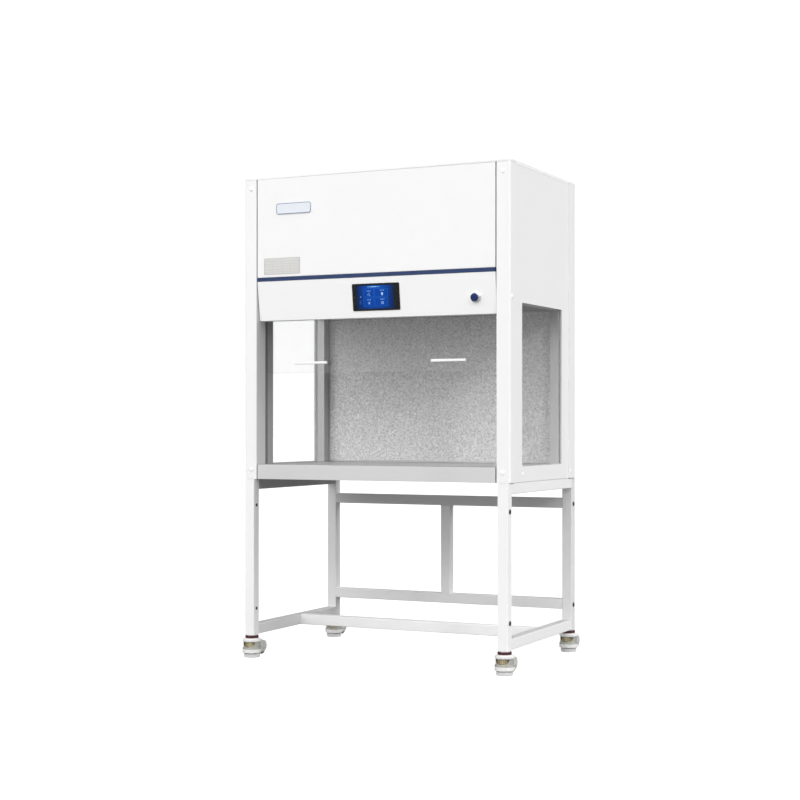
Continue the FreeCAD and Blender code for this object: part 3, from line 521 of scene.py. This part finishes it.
def dress(name, mat, bevel=0.0, seg=2, angle=32.0):
    """Material and softened edges for a CAD piece; the piece itself stays as it is."""
    o = paint_node(name, mat)
    me = o.data
    for a in list(me.attributes):
        if a.name == "custom_normal":
            me.attributes.remove(a)
    for p in me.polygons:
        p.use_smooth = True
    w = o.modifiers.new("weld", "WELD")
    w.merge_threshold = 0.00002
    if bevel > 0:
        b = o.modifiers.new("soft_edges", "BEVEL")
        b.width = bevel * MM
        b.segments = seg
        b.limit_method = "ANGLE"
        b.angle_limit = math.radians(angle)
        b.use_clamp_overlap = True
        b.harden_normals = False
        b.miter_outer = "MITER_ARC"
    wn = o.modifiers.new("normals", "WEIGHTED_NORMAL")
    wn.keep_sharp = True
    wn.weight = 80
    return o


def add_mesh(name, verts, faces, mat, body, smooth=False, bevel=0.0, seg=2, slots=None, face_mats=None, slot_name=None):
    me = bpy.data.meshes.new(name)
    me.from_pydata([tuple(v) for v in verts], [], faces)
    me.validate()
    bm = bmesh.new()
    bm.from_mesh(me)
    bmesh.ops.recalc_face_normals(bm, faces=bm.faces)
    bm.to_mesh(me)
    bm.free()
    for mt in (mat if isinstance(mat, (list, tuple)) else [mat]):
        me.materials.append(mt)
    if face_mats:
        for p, i in zip(me.polygons, face_mats):
            p.material_index = i
    for p in me.polygons:
        p.use_smooth = smooth
    o = bpy.data.objects.new(name, me)
    bpy.context.scene.collection.objects.link(o)
    if bevel > 0:
        b = o.modifiers.new("soft_edges", "BEVEL")
        b.width = bevel * MM
        b.segments = seg
        b.limit_method = "ANGLE"
        b.angle_limit = math.radians(30)
        wn = o.modifiers.new("normals", "WEIGHTED_NORMAL")
        wn.keep_sharp = True
        for p in me.polygons:
            p.use_smooth = True
    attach(o, body)
    return o


class Build:
    """Collects several closed forms into one mesh."""

    def __init__(self):
        self.v, self.f, self.mi = [], [], []

    def add(self, verts, faces, mi=0, mat=None):
        k = len(self.v)
        for v in verts:
            v = Vector(v)
            self.v.append(mat @ v if mat is not None else v)
        for f in faces:
            self.f.append([k + i for i in f])
            self.mi.append(mi)

    def box(self, x0, x1, y0, y1, z0, z1, mi=0, mat=None):
        v = [(x0, y0, z0), (x1, y0, z0), (x1, y1, z0), (x0, y1, z0), (x0, y0, z1), (x1, y0, z1), (x1, y1, z1), (x0, y1, z1)]
        f = [(0, 3, 2, 1), (4, 5, 6, 7), (0, 1, 5, 4), (1, 2, 6, 5), (2, 3, 7, 6), (3, 0, 4, 7)]
        self.add(v, f, mi, mat)

    def prism(self, pts, y0, y1, mi=0, mat=None):
        """A closed outline in the XZ plane given thickness along Y."""
        n = len(pts)
        v = [(x, y0, z) for x, z in pts] + [(x, y1, z) for x, z in pts]
        f = [list(range(n)), list(range(2 * n - 1, n - 1, -1))]
        f += [(i, i + n, (i + 1) % n + n, (i + 1) % n) for i in range(n)]
        self.add(v, f, mi, mat)

    def ring(self, outer, inner, y0, y1, mi=0, mat=None):
        """A flat frame between two outlines with the same number of points."""
        n = len(outer)
        v = [(x, y0, z) for x, z in outer] + [(x, y0, z) for x, z in inner] + [(x, y1, z) for x, z in outer] + [(x, y1, z) for x, z in inner]
        f = []
        for i in range(n):
            j = (i + 1) % n
            f += [(i, j, n + j, n + i), (2 * n + i, 3 * n + i, 3 * n + j, 2 * n + j), (i, 2 * n + i, 2 * n + j, j), (n + i, n + j, 3 * n + j, 3 * n + i)]
        self.add(v, f, mi, mat)

    def lathe(self, prof, seg=32, mi=0, mat=None, six=None):
        """Profile of (radius, height) pairs turned about Z; a radius of 0 closes an end.
        six holds indices of profile points whose ring is a hexagon."""
        v, f, rings = [], [], []
        for i, (r, h) in enumerate(prof):
            if r <= 1e-9:
                rings.append([len(v)])
                v.append((0, 0, h))
            else:
                idx = []
                for k in range(seg):
                    a = 2 * math.pi * k / seg
                    rr = r
                    if six and i in six:
                        b = (a % (math.pi / 3)) - math.pi / 6
                        rr = r * math.cos(math.pi / 6) / math.cos(b)
                    idx.append(len(v))
                    v.append((rr * math.cos(a), rr * math.sin(a), h))
                rings.append(idx)
        for a, b in zip(rings, rings[1:]):
            if len(a) == 1 and len(b) == 1:
                continue
            for k in range(seg):
                k2 = (k + 1) % seg
                if len(a) == 1:
                    f.append((a[0], b[k], b[k2]))
                elif len(b) == 1:
                    f.append((a[k], b[0], a[k2]))
                else:
                    f.append((a[k], b[k], b[k2], a[k2]))
        self.add(v, f, mi, mat)

    def make(self, name, mats, body, **kw):
        return add_mesh(name, self.v, self.f, mats, body, face_mats=self.mi, **kw)


def round_rect(x0, x1, z0, z1, r, n=6):
    pts = []
    for cx, cz, a0 in ((x1 - r, z1 - r, 0), (x0 + r, z1 - r, 90), (x0 + r, z0 + r, 180), (x1 - r, z0 + r, 270)):
        for k in range(n + 1):
            a = math.radians(a0 + 90.0 * k / n)
            pts.append((cx + r * math.cos(a), cz + r * math.sin(a)))
    return pts


def disc_pts(cx, cz, r, n=24, a0=0.0):
    return [(cx + r * math.cos(a0 + 2 * math.pi * k / n), cz + r * math.sin(a0 + 2 * math.pi * k / n)) for k in range(n)]


def facing(p, d):
    """Matrix that turns +Z to direction d and moves the origin to p."""
    q = Vector((0, 0, 1)).rotation_difference(Vector(d))
    return Matrix.Translation(p) @ q.to_matrix().to_4x4()


BUTTON_HEAD = [(0.0, 0.0012), (0.0016, 0.0012), (0.00165, 0.0026), (0.0026, 0.0026), (0.0036, 0.0021), (0.0043, 0.0012), (0.0045, 0.0004), (0.0045, 0.0), (0.0, 0.0)]
SOCKET = (1, 2)


# ------------------------------------------------------------------ CAD pieces: finish and soft edges
dress("upper_front_panel", M["cabinet_paint"], 0.5)
dress("front_columns", M["column_paint"], 0.5)
dress("control_panel", M["panel_paint_lit"], 0.5)
for n in ("side_panel_left", "side_panel_right"):
    dress(n, M["side_paint"], 0.25)
dress("back_panel", M["cabinet_paint"], 0.25)
dress("top_panel", M["lid_paint"], 0.0)
for n, mt in (("front_legs", "stand_front"), ("rear_legs", "stand_rear_shaded"), ("upper_side_beams", "stand_top_sides"), ("lower_side_beams", "stand_sides"),
              ("rear_upper_beam", "stand_rear_top_shaded"), ("rear_lower_beam", "stand_rear_shaded"), ("rear_post", "stand_rear_shaded"), ("cross_beam", "stand_paint")):
    dress(n, M[mt], 0.3)
dress("stand_bolts", M["bolt_black"], 0.2)
dress("base_pan", M["inside_paint"], 0.0)
dress("work_tray", M["tray_steel"], 0.3)
dress("inner_walls", M["wall_steel"], 0.3)
dress("chamber_ceiling", M["ceiling_steel_shaded"], 0.3)
dress("lamp_fixture", M["ceiling_steel_shaded"], 0.3)
dress("lamp_tubes", M["lamp"], 0.3)
dress("diffuser_screen", M["diffuser"], 0.3)
dress("hepa_filter", M["filter_paper"], 0.0)
dress("fan_deck", M["zinc"], 0.3)
dress("fan_motor", M["motor_black"], 0.3)
dress("impeller", M["blade_alu"], 0.2)
dress("intake_filter", M["foam"], 0.4)
dress("control_box", M["zinc"], 0.3)
dress("power_inlet", M["socket_black"], 0.3)
dress("sash_tracks", M["track_alu"], 0.4)
dress("sash_glass", M["sash_glass"], 0.0)
dress("side_windows", M["window_glass"], 0.4)
dress("sash_handles", M["handle_white"], 0.6, 3)
dress("trim_stripe", M["trim_blue"], 0.3)
dress("screen_bezel", M["bezel_black"], 0.3)
dress("screen_display", M["display"], 0.0)
dress("button_bezel", M["chrome_ring"], 0.2)
dress("power_button", M["button_blue"], 0.3)
dress("name_plate", M["name_face"], 0.2)
dress("data_plate", M["plate_metal"], 0.15)
dress("screw_caps", M["cap_plastic"], 0.4, 3, 15.0)
dress("caster_stems", M["zinc"], 0.3)
dress("seal_rings", M["seal_red"], 0.3)
for k in ("front_left", "front_right", "rear_left", "rear_right"):
    dress("caster_body_" + k, M["caster_body"], 0.35)
    dress("caster_wheel_" + k, M["wheel"], 0.3)
    dress("level_dial_" + k, M["dial_brass"], 0.3)
    dress("level_foot_" + k, M["foot_grey"], 0.3)

# ------------------------------------------------------------------ screen tiles and signs
PF = panel_frame(SCR_X, SCR_Z)


def scr(x, z):
    """Millimetres across and up the screen, from the middle of its frame."""
    return x * MM, z * MM


ui = Build()
Y_DISP = -0.0023
tiles = [(-41.0, -0.5, -1.0, 33.5), (1.5, 62.0, -1.0, 33.5), (-41.0, -0.5, -38.0, -4.0), (1.5, 62.0, -38.0, -4.0)]
for x0, x1, z0, z1 in [(-52.0, -7.5, 0.5, 30.0), (-4.5, 50.0, 0.5, 30.0), (-52.0, -7.5, -34.0, -3.0), (-4.5, 50.0, -34.0, -3.0)]:
    o1 = [(x * MM, z * MM) for x, z in round_rect(x0, x1, z0, z1, 2.5)]
    i1 = [(x * MM, z * MM) for x, z in round_rect(x0 + 0.7, x1 - 0.7, z0 + 0.7, z1 - 0.7, 1.9)]
    ui.prism(i1, Y_DISP - 0.00005, Y_DISP, 0, PF)
    ui.ring(o1, i1, Y_DISP - 0.00008, Y_DISP, 1, PF)
# bright band along the top, status marks at the left
ui.prism([(x * MM, z * MM) for x, z in round_rect(-34.0, 16.0, 36.4, 39.6, 1.5)], Y_DISP - 0.00007, Y_DISP, 3, PF)
ui.prism([(x * MM, z * MM) for x, z in round_rect(-18.0, 2.0, 37.0, 39.0, 0.9)], Y_DISP - 0.00011, Y_DISP, 4, PF)
ui.prism([(-66.0 * MM, 1.5 * MM), (-61.0 * MM, 4.5 * MM), (-61.0 * MM, -1.5 * MM)], Y_DISP - 0.00008, Y_DISP, 2, PF)
for z in (-14.0, -19.0, -24.0):
    ui.prism([(x * MM, zz * MM) for x, zz in round_rect(-68.0, -60.0, z - 0.7, z + 0.7, 0.6)], Y_DISP - 0.00007, Y_DISP, 1, PF)


def caption(cx, cz, widths):
    x = cx - (sum(widths) + 1.4 * (len(widths) - 1)) / 2
    for w in widths:
        ui.prism([(a * MM, b * MM) for a, b in round_rect(x, x + w, cz - 1.3, cz + 1.3, 0.6, 3)], Y_DISP - 0.0001, Y_DISP, 2, PF)
        x += w + 1.4


def poly(pts, mi=2, up=0.00012):
    ui.prism([(a * MM, b * MM) for a, b in pts], Y_DISP - up, Y_DISP, mi, PF)


# fan sign: hub and three curved blades
fx, fz = -28.5, 9.5
for j in range(3):
    a0 = math.radians(120 * j + 20)
    blade = []
    for t in range(9):
        r = 1.6 + 5.2 * t / 8
        blade.append((fx + r * math.cos(a0 + 0.10 * t), fz + r * math.sin(a0 + 0.10 * t)))
    for t in range(8, -1, -1):
        r = 1.6 + 5.2 * t / 8
        blade.append((fx + r * math.cos(a0 + 0.10 * t + 0.25 + 0.075 * t), fz + r * math.sin(a0 + 0.10 * t + 0.25 + 0.075 * t)))
    poly(blade)
poly(disc_pts(fx, fz, 1.5, 16))
# lamp sign: bulb, base
bx, bz = 26.5, 11.0
poly(disc_pts(bx, bz + 1.0, 4.3, 24), 4)
poly([(bx - 2.0, bz - 4.6), (bx + 2.0, bz - 4.6), (bx + 2.4, bz - 2.0), (bx - 2.4, bz - 2.0)], 4)
poly([(bx - 1.6, bz - 6.2), (bx + 1.6, bz - 6.2), (bx + 1.6, bz - 5.1), (bx - 1.6, bz - 5.1)], 4)
# sun sign: disc and rays
sx, sz = -28.5, -22.0
poly(disc_pts(sx, sz, 3.6, 24))
for j in range(8):
    a = math.radians(45 * j)
    c, s_ = math.cos(a), math.sin(a)
    poly([(sx + 4.6 * c - 0.5 * s_, sz + 4.6 * s_ + 0.5 * c), (sx + 4.6 * c + 0.5 * s_, sz + 4.6 * s_ - 0.5 * c),
          (sx + 6.6 * c + 0.5 * s_, sz + 6.6 * s_ - 0.5 * c), (sx + 6.6 * c - 0.5 * s_, sz + 6.6 * s_ + 0.5 * c)])
# settings sign: toothed ring
gx, gz = 26.5, -22.0
og, ig = [], []
for j in range(40):
    a = 2 * math.pi * j / 40
    ro = 6.2 if (j % 5) in (0, 1) else 4.9
    og.append(((gx + ro * math.cos(a)) * MM, (gz + ro * math.sin(a)) * MM))
    ig.append(((gx + 2.3 * math.cos(a)) * MM, (gz + 2.3 * math.sin(a)) * MM))
ui.ring(og, ig, Y_DISP - 0.00012, Y_DISP, 2, PF)
caption(-28.5, 22.5, (4.0, 6.5, 3.0))
caption(26.5, 24.0, (5.5, 4.0, 5.0))
caption(-28.5, -10.0, (3.5, 4.5, 5.0))
caption(26.5, -9.0, (6.0, 5.0, 3.5))
ui.make("screen_signs", [M["tile_blue"], M["tile_edge"], M["icon_pale"], M["bar_bright"], M["icon_bright"]], "cabinet", slot_name="screen_display")

# sensor eye in the screen's frame
eye = Build()
E = panel_frame(SCR_X, SCR_Z) @ Matrix.Translation((-0.0890, -0.0025, 0.0003)) @ Matrix.Rotation(math.radians(90), 4, "X")
eye.lathe([(0.0, -0.0002), (0.0030, -0.0002), (0.0034, 0.0), (0.0034, 0.00035), (0.0028, 0.0005), (0.0023, 0.0002), (0.0, 0.0001)], 28, 0, E)
eye.make("screen_eye", [M["rubber_black"]], "cabinet", smooth=True, slot_name="screen_bezel")

# ------------------------------------------------------------------ blank plates
npb = Build()
T0 = Matrix.Translation((0, -YS, -ZS))
o1 = round_rect(-0.4070, -0.2586, 1.6990, 1.7400, 0.008, 10)
i1 = round_rect(-0.4048, -0.2608, 1.7012, 1.7378, 0.006, 10)
npb.ring(o1, i1, -0.0036, -0.0026, 0, T0)
npb.make("name_plate_rim", [M["name_rim"]], "cabinet", bevel=0.25, slot_name="name_plate")
dpb = Build()
o1 = round_rect(-0.4612, -0.3068, 1.4723, 1.5322, 0.0018, 4)
i1 = round_rect(-0.4604, -0.3076, 1.4731, 1.5314, 0.0014, 4)
dpb.ring(o1, i1, -0.00092, -0.0007, 0, T0)
for z in (1.5205, 1.5105, 1.5005, 1.4905, 1.4805):
    dpb.box(-0.4604, -0.3076, -0.00090, -0.0007, z - 0.00025, z + 0.00025, 0, T0)
for x in (-0.4260, -0.3830, -0.3480):
    dpb.box(x - 0.00025, x + 0.00025, -0.00090, -0.0007, 1.4731, 1.5205, 0, T0)
for cx in (-0.4585, -0.3095):
    for cz in (1.4755, 1.5290):
        dpb.lathe([(0.0, 0.0011), (0.0009, 0.0010), (0.0015, 0.0005), (0.0016, 0.0), (0.0, 0.0)], 14, 1, facing((cx, -YS - 0.0008, cz - ZS), (0, -1, 0)))
dpb.make("data_plate_lines", [M["plate_ink"], M["zinc"]], "cabinet", slot_name="data_plate")

# ------------------------------------------------------------------ diffuser frame and its fixings
df = Build()
yf = 0.5870 - YS
outer = [(x, z - ZS) for x, z in ((-0.4962, 0.7472), (0.4962, 0.7472), (0.4962, 1.3437), (-0.4962, 1.3437))]
inner = [(x, z - ZS) for x, z in ((-0.4902, 0.7532), (0.4902, 0.7532), (0.4902, 1.3377), (-0.4902, 1.3377))]
df.ring(outer, inner, yf - 0.0016, yf + 0.0002, 0)
for zc in (0.80, 0.98, 1.16, 1.30):
    for s in (-1, 1):
        df.lathe([(0.0, 0.0011), (0.0010, 0.0010), (0.0019, 0.0006), (0.0022, 0.0), (0.0, 0.0)], 16, 1, facing((s * 0.4932, yf - 0.0016, zc - ZS), (0, -1, 0)))
for xc in (-0.36, -0.12, 0.12, 0.36):
    for zc in (0.7502, 1.3407):
        df.lathe([(0.0, 0.0011), (0.0010, 0.0010), (0.0019, 0.0006), (0.0022, 0.0), (0.0, 0.0)], 16, 1, facing((xc, yf - 0.0016, zc - ZS), (0, -1, 0)))
M["frame_dark"] = steel("frame_dark", (0.52, 0.525, 0.525), 2, 0.42, 0.06, 0.04, metal=0.7)
df.make("diffuser_frame", [M["frame_dark"], M["zinc"]], "cabinet", bevel=0.25, slot_name="diffuser_screen")

# ------------------------------------------------------------------ window seals
ws = Build()
for s in (-1, 1):
    xa, xb = sorted((s * 0.5305, s * 0.5323))
    y0, y1, za, zb = 0.127 - YS, 0.545 - YS, 0.7466 - ZS, 1.341 - ZS
    R = Matrix(((0, 1, 0, 0), (1, 0, 0, 0), (0, 0, 1, 0), (0, 0, 0, 1)))
    o1 = [(y0 + 0.0002, za + 0.0002), (y1 - 0.0002, za + 0.0002), (y1 - 0.0002, zb - 0.0002), (y0 + 0.0002, zb - 0.0002)]
    i1 = [(y0 + 0.0024, za + 0.0024), (y1 - 0.0024, za + 0.0024), (y1 - 0.0024, zb - 0.0024), (y0 + 0.0024, zb - 0.0024)]
    ws.ring(o1, i1, xa, xb, 0, R)
ws.make("window_seals", [M["foot_grey"]], "cabinet", bevel=0.3, slot_name="side_windows")

# ------------------------------------------------------------------ screws on the back and inlet
sc = Build()
for zc in (0.715, 0.90, 1.085, 1.27, 1.455, 1.64, 1.815):
    for s in (-1, 1):
        sc.lathe(BUTTON_HEAD, 24, 0, facing((s * 0.535, 0.688 - YS, zc - ZS), (0, 1, 0)), SOCKET)
for xc in (-0.36, -0.18, 0.0, 0.18, 0.36):
    for zc in (0.705, 1.825):
        sc.lathe(BUTTON_HEAD, 24, 0, facing((xc, 0.688 - YS, zc - ZS), (0, 1, 0)), SOCKET)
sc.make("back_screws", [M["zinc"]], "cabinet", smooth=False, slot_name="screw_caps")

inl = Build()
IX, IZ = -0.430, 1.420
for s in (-1, 1):
    inl.lathe([(0.0, 0.0006), (0.0012, 0.0006), (0.0013, 0.0015), (0.0020, 0.0014), (0.0028, 0.0008), (0.0030, 0.0), (0.0, 0.0)], 20, 0, facing((IX + s * 0.0200, 0.6905 - YS, IZ - ZS), (0, 1, 0)), (1, 2))
inl.make("inlet_screws", [M["zinc"]], "cabinet", slot_name="power_inlet")

# ------------------------------------------------------------------ casters: rivets and raised ribs
PX = {"front_left": (-0.5235, 0.011 - YS), "front_right": (0.5235, 0.011 - YS), "rear_left": (-0.5235, 0.680 - YS), "rear_right": (0.5235, 0.680 - YS)}
for k, (cx, cy) in PX.items():
    cb = Build()
    for s in (-1, 1):
        cb.lathe([(0.0, 0.0012), (0.0020, 0.0011), (0.0033, 0.0006), (0.0038, 0.0), (0.0, 0.0)], 20, 0, facing((cx + s * 0.0184, cy + 0.060, 0.0295), (s, 0, 0)))
    cb.make("axle_rivets_" + k, [M["zinc"]], "caster_" + k, smooth=True, slot_name="caster_body_" + k)
    tr = Build()
    for j in range(40):
        a = 2 * math.pi * j / 40
        m4 = Matrix.Translation((cx, cy + 0.060, 0.0295)) @ Matrix.Rotation(a, 4, "X")
        tr.box(-0.0078, 0.0078, 0.02460, 0.02505, -0.0007, 0.0007, 0, m4)
    tr.make("tread_ribs_" + k, [M["rubber_black"]], "wheel_" + k, slot_name="caster_wheel_" + k)

# ------------------------------------------------------------------ floor, light, camera
SKY_LOW, SKY_HIGH = 0.34, 0.58
SUNS = [("key", -15.0, 25.0, 2.15, 75.0), ("fill", 45.0, 25.0, 0.5, 10.0), ("side", 98.0, 32.0, 1.9, 45.0)]
fl = bpy.data.meshes.new("floor")
fl.from_pydata([(-60, -30, 0), (60, -30, 0), (60, 90, 0), (-60, 90, 0)], [], [(0, 1, 2, 3)])
floor = bpy.data.objects.new("floor", fl)
bpy.context.scene.collection.objects.link(floor)
fm = Mat("floor_pale")
fn = fm.noise(0.8, 2.0)
fd = fm.node("ShaderNodeBsdfDiffuse", Color=fm.mix(fm.rng(fn, 0.3, 0.7, 0.0, 1.0), (0.27, 0.27, 0.27), (0.29, 0.29, 0.29)))
fe = fm.node("ShaderNodeEmission", Color=(1.0, 1.0, 1.0, 1.0), Strength=0.90)
fa = fm.node("ShaderNodeAddShader", i0=fd.outputs[0], i1=fe.outputs[0])
flp = fm.node("ShaderNodeLightPath")
fmx = fm.node("ShaderNodeMixShader", i0=flp.outputs["Is Camera Ray"], i1=fd.outputs[0], i2=fa.outputs[0])
fl.materials.append(fm.done(fmx.outputs[0]))

w = bpy.data.worlds.new("studio")
w.use_nodes = True
wt = w.node_tree
bg = wt.nodes["Background"]
bg.inputs["Color"].default_value = (1.0, 1.0, 1.0, 1.0)


def world_range(value, a, b, c, d):
    n = wt.nodes.new("ShaderNodeMapRange")
    for key, v in (("From Min", a), ("From Max", b)):
        n.inputs[key].default_value = v
    wt.links.new(value, n.inputs["Value"])
    for key, v in (("To Min", c), ("To Max", d)):
        if isinstance(v, bpy.types.NodeSocket):
            wt.links.new(v, n.inputs[key])
        else:
            n.inputs[key].default_value = v
    return n.outputs["Result"]


wtc = wt.nodes.new("ShaderNodeTexCoord")
wsep = wt.nodes.new("ShaderNodeSeparateXYZ")
wt.links.new(wtc.outputs["Generated"], wsep.inputs["Vector"])
sky = world_range(wsep.outputs["Z"], 0.0, 1.0, SKY_LOW, SKY_HIGH)
wlp = wt.nodes.new("ShaderNodeLightPath")
wt.links.new(world_range(wlp.outputs["Is Camera Ray"], 0.0, 1.0, sky, 1.15), bg.inputs["Strength"])
bpy.context.scene.world = w


def sun(name, azimuth, elevation, strength, angle):
    """A soft distant lamp. Azimuth 0 shines on the front, and positive values come from the right."""
    l = bpy.data.lights.new(name, "SUN")
    l.energy = strength
    l.angle = math.radians(angle)
    o = bpy.data.objects.new(name, l)
    a, e = math.radians(azimuth), math.radians(elevation)
    d = Vector((math.sin(a) * math.cos(e), -math.cos(a) * math.cos(e), math.sin(e)))
    o.rotation_mode = "QUATERNION"
    o.rotation_quaternion = (-d).to_track_quat("-Z", "Y")
    o.location = d * 6.0
    bpy.context.scene.collection.objects.link(o)
    return o


for args in SUNS:
    sun(*args)

cam = bpy.data.cameras.new("camera")
cam.sensor_width = 36.0
cam.lens = 1613.2 / 800.0 * 36.0
cam.shift_x = 0.0
cam.shift_y = 24.52 / 800.0
cam.clip_start, cam.clip_end = 0.1, 200.0
co = bpy.data.objects.new("camera", cam)
co.location = (2.688999, -5.332841 - YS, 0.893342)
co.rotation_euler = (math.pi / 2, 0, math.radians(25.77))
bpy.context.scene.collection.objects.link(co)
bpy.context.scene.camera = co
bpy.context.scene.view_settings.view_transform = "Standard"
bpy.context.scene.view_settings.look = "None"
